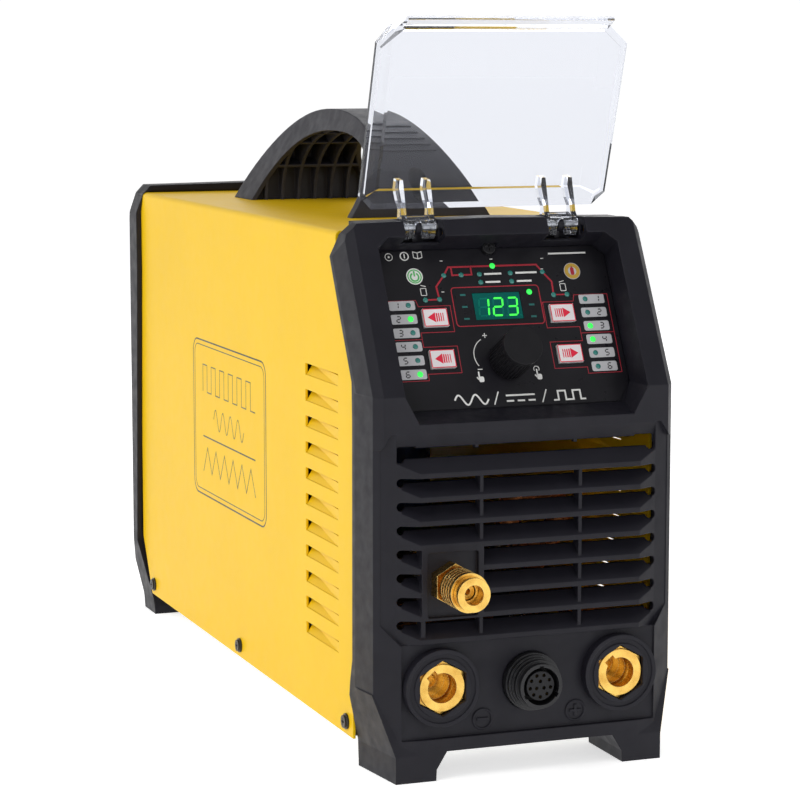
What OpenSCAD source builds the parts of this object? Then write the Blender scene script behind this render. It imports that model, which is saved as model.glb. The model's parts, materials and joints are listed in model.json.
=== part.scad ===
// TIG welding inverter power source: moulded front and rear bezels, folded steel
// cover and base tray, arched carrying handle, hinged clear lid over a control
// panel, louvred air intake, gas coupler, welding sockets and control socket.
// Millimetres. X across, Y from front to back, Z up, origin under the middle.

/* [Cabinet] */
// Half width of the bezels at their widest
bezel_half_w = 73; // [72:0.5:76]
// Top of the bezels at the middle
bezel_top_z = 242; // [241:0.5:246]
// Half width of the folded cover
cover_half_w = 70; // [68:0.5:70]
// Top surface of the cover
cover_top_z = 236.75; // [234:0.25:237]
// Thickness of the steel sheet
sheet_t = 1.2; // [0.8:0.1:1.5]
// Wall thickness of the moulded bezels
wall_t = 2.8; // [2:0.1:3]
// Outer surface of the recessed rear wall
rear_wall_y = 399; // [397:0.5:400]

/* [Front face] */
// Lean of the upper face from the vertical
face_lean = 28.6; // [27:0.1:30]
// Height of the crease below which the face is upright
crease_z = 168.7; // [167:0.1:170]
// Lean of the recessed control panel from the vertical
panel_lean = 27.1; // [26.5:0.1:27.5]
// Half width of the window over the control panel
window_half_w = 57.4; // [56:0.1:58]

/* [Grille] */
// Distance from one blade to the next
blade_pitch = 10.4; // [10:0.1:11]
// Lower front edge of the top blade
blade_first_z = 133.7; // [132:0.1:134]
// Height of a blade's front edge
blade_front_h = 2.2; // [1.6:0.1:3]
// Rise of a blade per millimetre of depth
blade_slope = 0.9; // [0.7:0.05:1]

/* [Sockets] */
// Distance of each welding socket from the middle
socket_x = 42.4; // [42:0.1:43]
// Height of the welding sockets
socket_z = 41.5; // [41:0.1:42]
// Bore of a welding socket
socket_bore_d = 13.4; // [13:0.1:14]
// Height of the control socket
plug_z = 40.7; // [40:0.1:42]
// Sideways place of the gas coupler
coupler_x = -37.7; // [-38:0.1:-37]
// Height of the gas coupler
coupler_z = 87; // [86:0.1:88]
// Bore of the gas coupler
coupler_bore_d = 8.8; // [8:0.1:9]

/* [Lid] */
// Hinge axis of the lid, back from the front
hinge_y = 51.7; // [51.5:0.1:52]
// Hinge axis of the lid, above the floor
hinge_z = 238; // [237.8:0.1:238.2]
// Forward lean of the open lid
lid_lean = 18.5; // [18:0.1:19]
// Thickness of the clear sheet
lid_t = 2.2; // [1.8:0.1:2.4]

/* [Handle] */
// Middle of the handle along the cabinet
handle_y = 229.6; // [228:0.1:232]
// Half length of the handle
handle_half_len = 94.4; // [90:0.1:96]
// Height of the handle above the cover
handle_h = 49.2; // [46:0.1:52]
// Half width of the handle at the top
handle_top_w = 11.7; // [11:0.1:14]
// Half width of the handle at its feet
handle_foot_w = 35.4; // [33:0.1:37]

/* [Louvres] */
// Number of louvres on each side
louvre_count = 11; // [6:1:11]
// Distance from one louvre to the next
louvre_pitch = 12.1; // [11:0.1:12.5]
// Top of the highest louvre
louvre_top_z = 173.3; // [170:0.1:175]
// Depth that a louvre is pressed in
louvre_depth = 3.4; // [2:0.1:4]

/* [Hidden] */

// Front and back ends of the whole machine, which put its origin in the middle
front_y = -26;
rear_y = 430;
mid_y = (front_y + rear_y) / 2;

// Inner clearance of parts that slide or turn in each other
run_gap = 0.05;

// Lower edge of the control panel's front surface
panel_y = 19.3;
panel_z = 160.1;

// Shared places on the control panel: sideways, and up from its lower edge
key_x = 30.6;
key_low_s = 23.5;
key_high_s = 43;
knob_s = 21.3;

// Grille limits
slot_half_w = 61.4;
blade_half_w = 52;
divider_x = 23.4;
divider_t = 1.6;
mount_x0 = -50.8;
mount_x1 = -23;
grille_back_y = 6.6;
recess_top_z = 146.1;

// Hinge notches in the front bezel
notch_x0 = 25;
notch_x1 = 43.5;
web_x = 34.4;
pin_r = 1.5;

steel_black = "#202124";
bezel_black = "#2b2a30";
cover_yellow = "#f5cf2a";
brass_tone = "#d9a83c";

// Moves from machine coordinates (front face at Y 0) to the part's frame
module place() {
    translate([0, -mid_y, 0]) children();
}

// A half outline of [half width, height] points made into a closed mirrored one
function both_sides(half) = concat(
    half,
    [for (i = [len(half) - 1 : -1 : 0]) [-half[i][0], half[i][1]]]
);

// Extrudes an outline of [y, z] points along X, centred on X 0
module along_x(points, width) {
    translate([-width / 2, 0, 0]) rotate([90, 0, 90]) linear_extrude(width) polygon(points);
}

// Extrudes an outline of [x, z] points along Y, between two values of Y
module along_y(points, y0, y1) {
    translate([0, y1, 0]) rotate([90, 0, 0]) linear_extrude(y1 - y0) polygon(points);
}

// A cylinder along Y
module rod_y(r, y0, y1, x = 0, z = 0, sides = 64) {
    translate([x, y1, z]) rotate([90, 0, 0]) cylinder(r = r, h = y1 - y0, $fn = sides);
}

// A cylinder along X
module rod_x(r, x0, x1, y = 0, z = 0) {
    translate([x0, y, z]) rotate([0, 90, 0]) cylinder(r = r, h = x1 - x0, $fn = 48);
}

// A hexagonal bar along Y, with two corners up and down
module hex_y(across, y0, y1, x = 0, z = 0) {
    translate([x, y1, z]) rotate([90, 30, 0])
        cylinder(d = across / cos(30), h = y1 - y0, $fn = 6);
}

// A block given by two opposite corners
module block(low, high) {
    translate(low) cube(high - low);
}

// A flat plate standing in X and Z with round corners, between two values of Y
module round_plate(half_w, z0, z1, r, y0, y1, x = 0) {
    block([x - half_w + r, y0, z0], [x + half_w - r, y1, z1]);
    block([x - half_w, y0, z0 + r], [x + half_w, y1, z1 - r]);
    for (sx = [-1, 1])
        for (z = [z0 + r, z1 - r])
            rod_y(r, y0, y1, x + sx * (half_w - r), z);
}

// Control panel frame: X across, Y into the machine, Z up along the panel
module on_panel() {
    translate([0, panel_y, panel_z]) rotate([-panel_lean, 0, 0]) children();
}

// A cylinder square to the control panel, from depth d0 to depth d1
module panel_rod(r, d0, d1, x, s, sides = 64) {
    rod_y(r, d0, d1, x, s, sides);
}

// ---------------------------------------------------------------- front bezel

// The outside form of the front bezel, with every wall moved in by t
module bezel_form(t) {
    foot_w = 62.9 - t;
    // Side facets and feet, which widen toward the back
    facet = [
        [-110, -5], [foot_w, -5], [foot_w, 11.6], [69.92 - t, 39.1], [100 - t, 157], [100 - t, 260],
        [-110, 260]
    ];
    intersection() {
        block([-90, -30, 0], [90, 100, 260]);
        union() {
            // Lower block behind the grille and sockets
            translate([0, 0, -5]) linear_extrude(152) polygon(both_sides([
                [52, t], [60.4 - t / 2, 1.4 + t], [70.8 - t, 8.5 + t / 2],
                [bezel_half_w - t, 26], [bezel_half_w - t, 90]
            ]));
            // Feet and the sloping band above them
            along_x([
                [t, -5], [t, 12], [8.5 + t, 38.5], [90, 38.5], [90, -5]
            ], 160);
            // Upright chin under the crease
            translate([0, 0, 146]) linear_extrude(crease_z - 146) polygon(both_sides([
                [67.4 - t, 4.4 + t], [70.8 - t, 8.5 + t / 2],
                [bezel_half_w - t, 26], [bezel_half_w - t, 90]
            ]));
            // Leaning upper face
            intersection() {
                translate([0, 4.4, crease_z]) rotate([-face_lean, 0, 0])
                    translate([0, 0, -60]) linear_extrude(160) polygon(both_sides([
                        [67.2 - t, t], [70.8 - t, 3.6 + t / 2],
                        [bezel_half_w - t, 17], [bezel_half_w - t, 110]
                    ]));
                block([-90, -20, crease_z], [90, 100, 260]);
            }
        }
        // Front view: full width sides, cut top corners, gap between the feet
        along_y(both_sides([
            [bezel_half_w - t, -5], [bezel_half_w - t, 226 - t / 2], [70 - t, 236.2 - t],
            [65.5 - t, 240.8 - 1.35 * t], [0, bezel_top_z - 1.35 * t]
        ]), -30, 100);
        rotate([0, 0, -7]) along_y(facet, -60, 140);
        mirror([1, 0, 0]) rotate([0, 0, -7]) along_y(facet, -60, 140);
        // Side view: stepped rear edge and flat top plate
        union() {
            along_x([
                [-30, -5], [35.6, -5], [36.5, 11.2], [32.4, 39.3], [29.4, 50], [28.9, 156],
                [29.5, 173], [43.7, 198.6], [58.2, 225.4], [51, 240], [51, 250], [-30, 250]
            ], 160);
            block([-63, 40, 228], [63, 61, 250]);
        }
    }
}

// The window over the control panel, grown by g on every side
module window_form(g) {
    intersection() {
        // Side view: sloping sill, panel plane, square top wall
        along_x([
            [-10 - g, 153 - g], [panel_y - 2 * g / 3, panel_z - g],
            [54.4 + g / 2, 227.8 + g], [26, 242.1 + g]
        ], 2 * (window_half_w + g));
        // Upper corners
        on_panel() along_y(both_sides([
            [window_half_w + g, -40], [window_half_w + g, 71.2 + g / 2], [52 + g / 2, 75.9 + g]
        ]), -60, 30);
        // Lower corners
        along_y(both_sides([
            [51 + g / 2, 150 - g], [51 + g / 2, 157 - g], [window_half_w + g, 168.6 - g / 2],
            [window_half_w + g, 260]
        ]), -30, 80);
    }
}

// One air slot from a blade whose upper front edge is at z0 to the underside of the
// next blade at z1
module air_slot(z0, z1, x0, x1) {
    intersection() {
        along_x([[-6, z0 - 6 * blade_slope], [(z1 - z0) / blade_slope, z1], [-6, z1]], 140);
        block([x0, -8, 0], [x1, 20, 220]);
    }
}

// Rounded outer end of an air slot
module slot_end(side, z0) {
    rod_y(2, -2, 14, side * (slot_half_w - 2), z0 + 6.2, 32);
}

// All the openings of the air grille
module grille_cuts() {
    end_w = slot_half_w - 2;
    for (i = [0 : 7]) {
        z_low = blade_first_z - blade_pitch * i + blade_front_h;
        z_high = (i == 0) ? recess_top_z : z_low + blade_pitch - blade_front_h;
        beside_mount = (i > 3 && i < 7);
        if (!beside_mount)
            air_slot(z_low, z_high, (i == 7) ? -49.4 : -end_w, -divider_x - divider_t / 2);
        if (i > 3)
            air_slot(z_low, z_high, -end_w, -51.4);
        air_slot(z_low, z_high, beside_mount ? mount_x1 + 0.4 : divider_t / 2 - divider_x,
            divider_x - divider_t / 2);
        air_slot(z_low, z_high, divider_x + divider_t / 2, end_w);
        for (side = [-1, 1])
            slot_end(side, z_low);
        // The dividers stand a little behind the blades
        intersection() {
            air_slot(z_low, z_high, beside_mount ? mount_x1 + 0.4 : -blade_half_w, blade_half_w);
            block([-80, -8, 0], [80, 1, 220]);
        }
    }
}

// Space in front of the grille's side plates and above the top blade
module grille_recess() {
    intersection() {
        for (side = [0, 1])
            mirror([side, 0, 0]) translate([0, 0, 60.9]) linear_extrude(92)
                polygon([
                    [blade_half_w, -8], [blade_half_w, 0], [slot_half_w, 4.6], [68.2, 7],
                    [68.4, -8]
                ]);
        along_y(both_sides([
            [60.6, 60.9], [68.2, 69.5], [68.2, recess_top_z], [63.8, 152.8]
        ]), -20, 20);
    }
    top_z = blade_first_z + blade_front_h;
    intersection() {
        along_x([
            [-6, top_z - 6 * blade_slope], [6.9, top_z + 6.9 * blade_slope], [6.9, recess_top_z],
            [4.2, 152.8], [-6, 152.8]
        ], 136);
        along_y(both_sides([[68.2, 120], [67.6, recess_top_z], [63.8, 152.8]]), -20, 20);
        translate([0, 0, 100]) linear_extrude(60)
            polygon(both_sides([[68.2, -8], [68.2, 7], [slot_half_w, 4.6], [61, 7.2]]));
    }
}

// Raised and recessed details of the socket field
module socket_field() {
    // Pad behind the control socket
    chamfer = 3.2;
    half = 15.4;
    along_y([for (a = [[1, 1], [-1, 1], [-1, -1], [1, -1]])
        for (k = (a[0] * a[1] > 0) ? [0, 1] : [1, 0])
            [a[0] * (half - (1 - k) * chamfer), plug_z + a[1] * (half - k * chamfer)]
    ], 1.7, 5);
    // Polarity rings and signs
    for (side = [-1, 1])
        translate([side * 22.2, 0, 25.3]) {
            difference() {
                rod_y(4.8, 1.6, 4);
                rod_y(4, 1, 4);
            }
            block([-2.7, 1.6, -0.6], [2.7, 4, 0.6]);
            if (side > 0)
                block([-0.6, 1.6, -2.7], [0.6, 4, 2.7]);
        }
}

module front_bezel() {
    place() color(bezel_black) {
        difference() {
            union() {
                difference() {
                    bezel_form(0);
                    // Inside of the shell, open at the back
                    difference() {
                        bezel_form(wall_t);
                        block([-90, -20, -10], [90, 100, 15]);
                        block([-90, -20, 0], [90, 4.9, 61]);
                        translate([0, 0, 55]) linear_extrude(97) polygon(both_sides([
                            [0, -9], [59.6, -9], [70, -9], [70, 9.8], [66, 9.8],
                            [60, grille_back_y], [0, grille_back_y]
                        ]));
                        block([-52, -20, 145], [52, 9.6, 156]);
                        window_form(2.2);
                    }
                    // Opening at the back for the cover
                    along_y(both_sides([
                        [70.2, 42], [70.2, 234], [68.5, 237.1], [0, 237.4]
                    ]), 61.1, 90);
                }
                // Mounting plate of the gas coupler
                block([mount_x0, 1.2, 69], [mount_x1, grille_back_y, 103]);
                // Walls round the lid's hinge notches, and the webs in them
                for (side = [-1, 1])
                    translate([side * (notch_x0 + notch_x1) / 2, 0, 0]) {
                        block([-11, 49, 229.2], [11, 57.7, 238.6]);
                        block([-11, 57.4, 229.2], [11, 60.4, 235.2]);
                    }
                for (side = [-1, 1])
                    translate([side * web_x, 0, 0]) {
                        rod_x(3.3, -1.3, 1.3, hinge_y, hinge_z);
                        block([-1.3, hinge_y + 2, 229], [1.3, 57.7, hinge_z + 1.2]);
                    }
            }
            window_form(0);
            grille_recess();
            grille_cuts();
            // Socket field, sunk a little behind the side bevels
            along_y(both_sides([[60.2, 18.6], [60.2, 60.9]]), -10, 2.3);
            along_y(both_sides([[60.2, 14], [60.2, 20]]), -10, 0);
            // Sunk square around the coupler
            round_plate(11.8, 72.4, 101, 1.2, -2, 2.2, -36.9);
            rod_y(6.7, 0, 12, coupler_x, coupler_z);
            // Welding socket holes and control socket hole
            for (side = [-1, 1])
                rod_y(14.3, -4, 20, side * socket_x, socket_z);
            rod_y(13.1, -4, 2.8, 0.4, plug_z);
            rod_y(10.1, -4, 20, 0.4, plug_z);
            // Gap between the feet
            along_y(both_sides([[45, -8], [44.4, 5], [39.6, 12.8]]), -10, 90);
            // Hinge notches
            for (side = [-1, 1])
                difference() {
                    translate([side * (notch_x0 + notch_x1) / 2, 0, 0])
                        along_x([
                            [30, 260], [30, 229], [46.5, 229], [49.5, 231.3], [58, 231.3],
                            [58, 260]
                        ], notch_x1 - notch_x0);
                    translate([side * web_x, 0, 0]) {
                        rod_x(3.3, -1.3, 1.3, hinge_y, hinge_z);
                        block([-1.3, hinge_y + 2, 229], [1.3, 57.7, hinge_z + 1.2]);
                    }
                }
            // Seats of the hinge pins
            for (side = [-1, 1])
                rod_x(pin_r, side * web_x - 11, side * web_x + 11, hinge_y, hinge_z);
            // Recess of the panel screw
            on_panel() rod_y(3.4, -6, 3, 0.6, 75.5);
        }
        difference() {
            intersection() {
                socket_field();
                block([-60, 0, 19], [60, 5, 60]);
            }
            for (side = [-1, 1])
                rod_y(14.3, -4, 20, side * socket_x, socket_z);
            rod_y(13.1, -4, 2.8, 0.4, plug_z);
            rod_y(10.1, -4, 20, 0.4, plug_z);
        }
    }
}

// ---------------------------------------------------------------- rear bezel

module rear_form(t) {
    intersection() {
        along_x([
            [374, 0], [375, 4], [395, 39], [388, 193], [388.3, 226], [383, 238], [383, 250],
            [396 - t, 250], [402 - t, 228], [405 - t, 209], [412.7 - t, 53], [412 - t, 38],
            [397.6 - t, 6], [396 - t, 0]
        ], 160);
        along_y(both_sides([
            [68.6 - t, -5], [68.6 - t, 8], [bezel_half_w - t, 39], [bezel_half_w - t, 225],
            [70 - t, 236], [66 - t, 240.6 - t], [0, bezel_top_z - 0.4 - t]
        ]), 360, 420);
        translate([0, 0, -10]) linear_extrude(270) polygon(both_sides([
            [bezel_half_w - t, 360], [bezel_half_w - t, 403], [bezel_half_w - 3 - t, 409],
            [66 - t, 414]
        ]));
    }
}

fan_z = 100;
switch_x = 40;
inlet_x = 0;
gland_x = -40;
rear_top_z = 192;

module rear_bezel() {
    grille_r = 41;
    wall_y0 = rear_wall_y - wall_t;
    place() color(bezel_black) difference() {
        rear_form(0);
        // Front side, where the cover and tray slide in
        along_y(both_sides([
            [60, 14], [70.2, 44], [70.2, 235], [69.2, 236.9], [0, 236.9]
        ]), 300, wall_y0);
        // Sunk rear field
        round_plate(63, 18, 229, 5, rear_wall_y, 450);
        // Gap between the feet
        along_y(both_sides([[50, -8], [49, 6], [44, 12]]), 300, 450);
        // Fan grille: rings of slots held by six spokes
        difference() {
            for (r = [15 : 6.5 : grille_r])
                difference() {
                    rod_y(r + 2, wall_y0 - 1, 450, 0, fan_z);
                    rod_y(r - 2, wall_y0 - 2, 451, 0, fan_z);
                }
            for (a = [0 : 60 : 120])
                translate([0, 0, fan_z]) rotate([0, a, 0])
                    block([-1.5, wall_y0 - 3, -50], [1.5, 452, 50]);
        }
        for (sx = [-1, 1])
            for (sz = [-1, 1])
                rod_y(1.7, wall_y0 - 1, 450, sx * 41.25, fan_z + sz * 41.25);
        // Switch, gas inlet and cable gland openings
        block([switch_x - 13.6, wall_y0 - 1, rear_top_z - 10.6],
            [switch_x + 13.6, 450, rear_top_z + 10.6]);
        rod_y(6.6, wall_y0 - 1, 450, inlet_x, rear_top_z);
        rod_y(10.2, wall_y0 - 1, 450, gland_x, rear_top_z);
        // Holes of the four bezel screws
        for (sx = [-1, 1])
            for (z = [30, 219])
                rod_y(1.7, wall_y0 - 1, 450, sx * 56, z);
    }
}

// ---------------------------------------------------------------- cover and tray

// Places of the cover screws along each side
screw_ys = [45.5, 207.3, 369.9];
screw_z = 18;

// Front and back ends of the louvres, and their height
louvre_front_y = 56;
louvre_back_y = 101.5;
louvre_h = 5.3;

// One louvre flap on the left side, pressed in most at its sheared back end
module louvre_flap(z_top) {
    y0 = louvre_back_y - 0.4;
    y1 = louvre_front_y - 0.4;
    z0 = z_top - louvre_h - 0.4;
    z1 = z_top - 0.5;
    x0 = 0.1 - cover_half_w;
    d = louvre_depth;
    t = sheet_t - 0.2;
    polyhedron(
        points = [
            [x0, y0, z0], [x0, y1, z0], [x0, y1, z1], [x0 + d, y0, z1],
            [x0 + t, y0, z0], [x0 + t, y1, z0], [x0 + t, y1, z1], [x0 + d + t, y0, z1]
        ],
        faces = [
            [3, 1, 0], [3, 2, 1], [4, 5, 7], [5, 6, 7], [5, 4, 0], [1, 5, 0], [6, 5, 1],
            [2, 6, 1], [7, 6, 2], [3, 7, 2], [4, 7, 3], [0, 4, 3]
        ]
    );
}

// The cover's folded outline, moved in by t
module cover_outline(t, z0, y0, y1) {
    r = 2.4 - t;
    half = cover_half_w - t;
    top = cover_top_z - t;
    block([-half, y0, z0], [half, y1, top - r]);
    block([-half + r, y0, top - r - 1], [half - r, y1, top]);
    for (side = [-1, 1])
        rod_y(r, y0, y1, side * (half - r), top - r, 32);
}

module cover() {
    place() color(cover_yellow) {
        difference() {
            intersection() {
                cover_outline(0, 12, 20, 400);
                along_x([
                    [36.9, 12], [374.6, 12], [392.6, 42], [392.6, 260], [58.6, 260], [58.6, 226],
                    [55, 222], [40.7, 198.6], [26.5, 173], [25.9, 156], [26.5, 47],
                    [36.9, 41]
                ], 160);
            }
            cover_outline(sheet_t, 0, 0, 420);
            for (side = [0, 1])
                mirror([side, 0, 0])
                    for (i = [0 : louvre_count - 1])
                        block([-80, louvre_front_y, louvre_top_z - louvre_pitch * i - louvre_h],
                            [-60, louvre_back_y, louvre_top_z - louvre_pitch * i]);
            for (y = screw_ys)
                rod_x(1.7, -80, 80, y, screw_z);
            // Handle screw holes
            for (y = handle_screw_ys)
                translate([0, y, 200]) cylinder(r = 2.2, h = 60, $fn = 32);
        }
        for (side = [0, 1])
            mirror([side, 0, 0])
                for (i = [0 : louvre_count - 1])
                    louvre_flap(louvre_top_z - louvre_pitch * i);
    }
}

module base_tray() {
    inner = cover_half_w - sheet_t - 0.1;
    place() color("silver") difference() {
        union() {
            block([-inner, 38, 13], [inner, 374, 13 + sheet_t]);
            for (side = [-1, 1])
                block([side * inner - (side > 0 ? sheet_t : 0), 38, 13],
                    [side * inner + (side > 0 ? 0 : sheet_t), 374, 28]);
            // Upright flange behind the front bezel's sockets
            block([-60, 38, 13], [60, 38 + sheet_t, 24]);
        }
        for (y = screw_ys)
            rod_x(1.5, -80, 80, y, screw_z);
        // Vent slots under the heat sinks
        for (i = [0 : 9])
            block([-40, 190 + 14 * i, 0], [40, 196 + 14 * i, 20]);
    }
}

module cover_screws() {
    place() color(steel_black)
        for (side = [0, 1])
            mirror([side, 0, 0])
                for (y = screw_ys)
                    difference() {
                        union() {
                            rod_x(1.5, -cover_half_w - 0.2, -60, y, screw_z);
                            rod_x(3.6, -cover_half_w - 0.9, -cover_half_w, y, screw_z);
                            rod_x(2.9, -cover_half_w - 1.9, -cover_half_w, y, screw_z);
                        }
                        translate([-cover_half_w - 1.9, y, screw_z])
                            for (a = [0, 90])
                                rotate([a, 0, 0]) cube([2.2, 3.4, 0.8], center = true);
                    }
}

module rear_screws() {
    place() color(steel_black)
        for (sx = [-1, 1])
            for (z = [30, 219])
                difference() {
                    union() {
                        rod_y(1.5, 388, rear_wall_y, sx * 56, z, 32);
                        rod_y(3.2, rear_wall_y, rear_wall_y + 2, sx * 56, z, 32);
                    }
                    translate([sx * 56, rear_wall_y + 2, z])
                        for (a = [0, 90])
                            rotate([0, a, 0]) cube([3.6, 2.2, 0.8], center = true);
                }
}

// ---------------------------------------------------------------- handle

// Points along a superellipse arch, from its front foot to its back foot
function arch(y_mid, half_len, height, power, steps) = [
    for (i = [0 : steps])
        let (a = 180 * i / steps)
            [
                y_mid - sign(cos(a)) * half_len * pow(abs(cos(a)), 2 / power),
                cover_top_z + height * pow(abs(sin(a)), 2 / power)
            ]
];

// Front view of the handle: wide feet drawing in to a narrow grip
function handle_side(t) = [
    for (i = [0 : 10])
        let (f = i / 10)
            [
                handle_top_w - t + (handle_foot_w - handle_top_w) * pow(1 - f, 1.3),
                cover_top_z + handle_h * f
            ]
];

// Places of the handle's front bolt, from above, and rear screw, from inside the case
handle_screw_ys = [141, 308];

// Boss of the front bolt, behind the front slope
module handle_boss() {
    translate([0, handle_screw_ys[0], 230]) cylinder(r = 6.4, h = 34, $fn = 32);
}

module handle() {
    opening_y = 217.4;
    opening_half = 75.8;
    skin_t = 3.2;
    place() color("#3a3a40") difference() {
        intersection() {
            along_x(arch(handle_y, handle_half_len, handle_h, 2.1, 36), 90);
            along_y(both_sides(handle_side(0)), 100, 360);
        }
        // Finger opening, between a thin front leg and a solid rear wedge
        difference() {
            along_x(concat([[opening_y - opening_half, 230]],
                arch(opening_y, opening_half, 38.6, 2.3, 28),
                [[opening_y + opening_half, 230]]), 90);
            handle_boss();
        }
        // Pockets between the ribs under the skin
        difference() {
            intersection() {
                along_x(arch(handle_y + 3, handle_half_len - skin_t - 2, handle_h - skin_t,
                    2.1, 28), 90);
                along_y(both_sides(handle_side(2.6)), 151, 297);
            }
            for (x = [-27 : 9 : 27])
                block([x - 0.8, 140, 230], [x + 0.8, 340, 300]);
            for (a = [-72 : 16 : 72])
                translate([0, opening_y, 232]) rotate([-a, 0, 0])
                    block([-45, -0.8, 0], [45, 0.8, 110]);
            handle_boss();
        }
        // Passage of the front bolt, sunk from above, and pilot hole of the rear screw
        translate([0, handle_screw_ys[0], 230]) cylinder(r = 2.2, h = 60, $fn = 32);
        translate([0, handle_screw_ys[0], 246]) cylinder(r = 4.4, h = 60, $fn = 32);
        translate([0, handle_screw_ys[1], 230]) cylinder(r = 2, h = 16, $fn = 32);
    }
}

module handle_screws() {
    place() color(steel_black) {
        translate([0, handle_screw_ys[0], 0]) difference() {
            union() {
                translate([0, 0, 224]) cylinder(r = 2, h = 22, $fn = 32);
                translate([0, 0, 246]) cylinder(r = 4, h = 3, $fn = 32);
                translate([0, 0, 232]) cylinder(d = 8, h = 3, $fn = 6);
            }
            translate([0, 0, 247]) cylinder(d = 4, h = 3, $fn = 6);
        }
        translate([0, handle_screw_ys[1], 0]) difference() {
            union() {
                translate([0, 0, 232]) cylinder(r = 3.6, h = 3, $fn = 32);
                translate([0, 0, 234]) cylinder(r = 2, h = 11, $fn = 32);
            }
            translate([0, 0, 231]) cylinder(d = 3, h = 3, $fn = 6);
        }
    }
}

// ---------------------------------------------------------------- control panel

key_half = [5.8, 4.2];

module key_holes(g) {
    for (sx = [-1, 1])
        for (s = [key_low_s, key_high_s])
            block([sx * key_x - key_half[0] - g, -5, s - key_half[1] - g],
                [sx * key_x + key_half[0] + g, 12, s + key_half[1] + g]);
}

module panel_plate() {
    place() color(bezel_black) on_panel() difference() {
        union() {
            block([-60.5, 0.6, -2], [60.5, 2.2, 77.5]);
            // Posts that carry the control board
            for (x = [-52, 52])
                for (s = [8, 66])
                    panel_rod(3, 2, 12, x, s, 32);
        }
        key_holes(0.8);
        panel_rod(4.6, -1, 5, 0, knob_s);
        block([-11.6, -1, 40.8], [12.6, 5, 55]);
        panel_rod(1.7, -1, 5, 0.6, 75.5, 32);
    }
}

module panel_overlay() {
    place() color("#141416") on_panel() difference() {
        along_y(both_sides([
            [49.8, 0.4], [51.2, 0.8], [window_half_w - 0.5, 9.6], [window_half_w - 0.5, 71],
            [52.2, 75.5]
        ]), 0, 0.6);
        key_holes(0.3);
        panel_rod(4.6, -1, 5, 0, knob_s);
        block([-11.1, -1, 41.3], [12.1, 5, 54.5]);
        panel_rod(3.6, -1, 5, 0.6, 75.5, 32);
    }
}

module panel_screw() {
    place() color(steel_black) on_panel() difference() {
        union() {
            panel_rod(3, -1.9, 0.5, 0.6, 75.5, 32);
            panel_rod(1.5, 0.4, 8, 0.6, 75.5, 32);
        }
        for (a = [0, 90])
            translate([0.6, -1.9, 75.5]) rotate([0, a, 0]) cube([3.4, 1.6, 0.7], center = true);
    }
}

module display_window() {
    place() color("#0d5c4a") on_panel() block([-10.9, 0.2, 41.5], [11.9, 1.6, 54.3]);
}

module display_module() {
    place() color("#20242a") on_panel() block([-10.9, 1.6, 41.5], [11.9, 12, 54.3]);
}

// One membrane key: a cap in the overlay and a stem that reaches its switch
module key_cap(x, s) {
    place() color("white") on_panel() {
        block([x - key_half[0], -1.4, s - key_half[1]], [x + key_half[0], 3.6, s + key_half[1]]);
        panel_rod(1.6, 3.5, 7.8, x, s, 32);
    }
}

module key_upper_left() {
    key_cap(-key_x, key_high_s);
}

module key_lower_left() {
    key_cap(-key_x, key_low_s);
}

module key_upper_right() {
    key_cap(key_x, key_high_s);
}

module key_lower_right() {
    key_cap(key_x, key_low_s);
}

module key_switches() {
    place() color("dimgray") on_panel()
        for (sx = [-1, 1])
            for (s = [key_low_s, key_high_s])
                translate([sx * key_x, 0, s]) block([-3, 8.3, -3], [3, 12, 3]);
}

module control_board() {
    place() color("darkgreen") on_panel() difference() {
        block([-56, 12, 4], [56, 13.6, 70]);
        block([-6.6, 10, knob_s - 6.6], [6.6, 15, knob_s + 6.6]);
    }
}

module encoder_knob() {
    place() color("#161616") on_panel() difference() {
        union() {
            difference() {
                panel_rod(9, -20.3, -1.8, 0, knob_s, 96);
                // Grip grooves
                for (a = [0 : 10 : 350])
                    translate([0, 0, knob_s]) rotate([0, a, 0])
                        rod_y(0.55, -17.5, 0, 9.1, 0, 16);
            }
            panel_rod(8.4, -2.4, -1, 0, knob_s, 96);
        }
        panel_rod(7.2, -12, 0, 0, knob_s);
    }
    place() color("#161616") on_panel() difference() {
        panel_rod(4.9, -12.5, -2.2, 0, knob_s);
        panel_rod(3, -12, 0, 0, knob_s);
    }
}

module encoder_shaft() {
    place() color("silver") on_panel() difference() {
        union() {
            panel_rod(3, -12, 9, 0, knob_s);
            panel_rod(3.9, 8.9, 10.7, 0, knob_s);
        }
        panel_rod(1.4, 5, 12, 0, knob_s, 32);
    }
}

module encoder_plunger() {
    place() color("ivory") on_panel() {
        panel_rod(1.4 - run_gap, 5.4, 11.2, 0, knob_s, 32);
        panel_rod(3.6, 11, 13.4, 0, knob_s);
    }
}

module encoder_body() {
    place() color("dimgray") on_panel() difference() {
        union() {
            panel_rod(3.9, -0.6, 7.8, 0, knob_s);
            block([-6.4, 2.3, knob_s - 6.4], [6.4, 17.2, knob_s + 6.4]);
            panel_rod(4.5, 2.2, 2.4, 0, knob_s);
        }
        panel_rod(3 + run_gap, -2, 9, 0, knob_s);
        panel_rod(4.3, 7.8, 15.2, 0, knob_s);
    }
}

module encoder_nut() {
    place() color("silver") on_panel() difference() {
        translate([0, 0, knob_s]) rotate([90, 0, 0]) cylinder(d = 11, h = 1.2, $fn = 6);
        panel_rod(3.9, -3, 3, 0, knob_s);
    }
}

// ---------------------------------------------------------------- lid

// Lid frame: X across, Y from its open side to its outer side, Z up along the sheet,
// with its origin on the hinge axis
module on_lid() {
    translate([0, hinge_y, hinge_z]) rotate([lid_lean, 0, 0]) children();
}

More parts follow.
